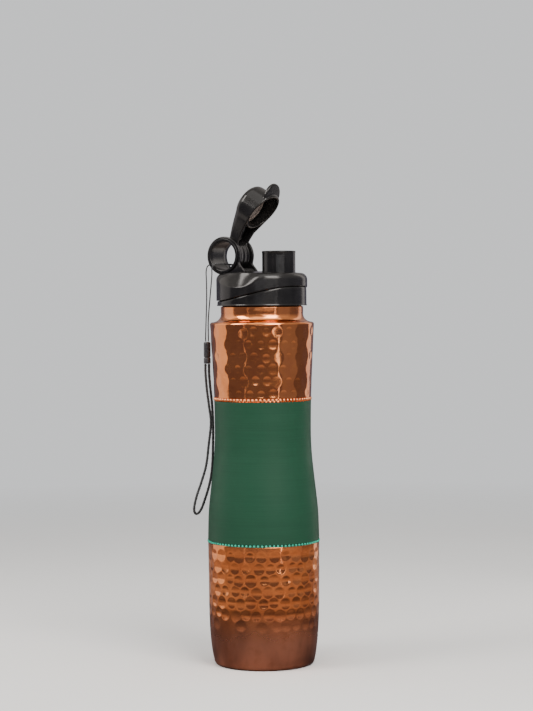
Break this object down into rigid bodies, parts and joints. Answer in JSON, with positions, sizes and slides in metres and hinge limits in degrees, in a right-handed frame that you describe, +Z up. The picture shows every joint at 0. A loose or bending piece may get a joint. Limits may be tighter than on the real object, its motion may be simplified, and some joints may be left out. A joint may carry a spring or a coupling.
{
  "type": "water bottle",
  "caption": "Waisted hammered copper water bottle with a green lacquer band, a black screw lid with drinking spout and flip cap, and a wrist lanyard.",
  "frame": {"origin": "centre of the foot ring's underside, which rests on the table", "axes": "+Z up along the bottle's axis; +X from the axis towards the drinking spout, with the lid's hinge on the -X side"},
  "size_m": [0.0825, 0.0756, 0.3215],
  "materials": {
    "copper": "polished, hammered copper",
    "lacquer": "satin green lacquer with faint horizontal lines",
    "lid_plastic": "glossy black moulding",
    "silicone": "soft matt silicone",
    "cord": "black braid",
    "ferrule": "dark satin sleeve"
  },
  "bodies": {
    "bottle": {"bottle_shell": "copper", "base_disc": "copper", "neck_collar": "copper", "lacquer_band": "lacquer"},
    "screw_carrier": {"neck_gasket": "silicone"},
    "lid": {"lid_cover": "lid_plastic", "threaded_cap": "lid_plastic", "drinking_spout": "lid_plastic", "spout_gasket": "silicone", "hinge_sleeve": "lid_plastic", "sleeve_snap_ring": "lid_plastic", "strap_ferrule": "ferrule", "hitch_string": "cord", "wrist_cord": "cord"},
    "flip": {"flip_cap": "lid_plastic", "spout_seal": "silicone"}
  },
  "joints": [
    {"name": "lid_rise", "type": "slide", "parent": "bottle", "child": "screw_carrier", "axis": [0, 0, 1], "range_m": [0, 0.00601]},
    {"name": "lid_turn", "type": "hinge", "parent": "screw_carrier", "child": "lid", "pos_m": [0, 0, 0.245], "axis": [0, 0, 1], "range_deg": [0, 540]},
    {"name": "flip_hinge", "type": "hinge", "parent": "lid", "child": "flip", "pos_m": [-0.0243, 0, 0.2738], "axis": [0, 1, 0], "range_deg": [-25, 60]}
  ],
  "couplings": [
    {"joint": "lid_rise", "follows": "lid_turn", "m_per_rad": 0.00063662}
  ]
}
